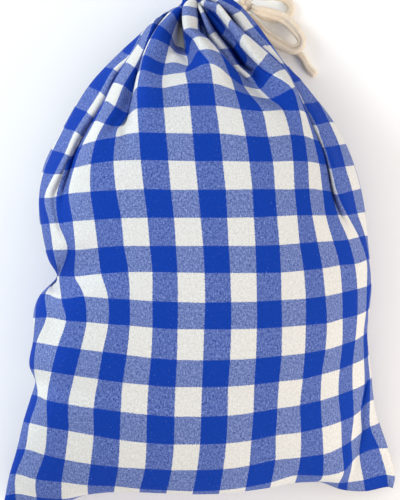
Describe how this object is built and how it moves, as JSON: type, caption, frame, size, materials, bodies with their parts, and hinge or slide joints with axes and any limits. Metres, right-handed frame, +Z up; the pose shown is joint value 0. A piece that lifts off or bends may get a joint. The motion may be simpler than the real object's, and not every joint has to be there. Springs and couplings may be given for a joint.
{
  "type": "gingham drawstring bag",
  "caption": "A stuffed cotton drawstring bag in blue and white gingham, lying on its back, gathered at the neck and tied with a natural cotton cord.",
  "frame": {"origin": "on the surface that the bag lies on, under the middle of the bag", "axes": "+X across the bag, +Y from the bottom seam to the neck, +Z up out of the surface"},
  "size_m": [0.371, 0.4953, 0.1518],
  "materials": {
    "front_cloth": "woven blue and white gingham cotton",
    "back_cloth": "woven blue and white gingham cotton",
    "cord": "soft natural cotton cord"
  },
  "bodies": {
    "root": {"front_panel": "front_cloth", "back_panel": "back_cloth", "cord_knot": "cord", "cord_loop_upper": "cord", "cord_loop_lower": "cord", "cord_end": "cord"}
  },
  "joints": []
}
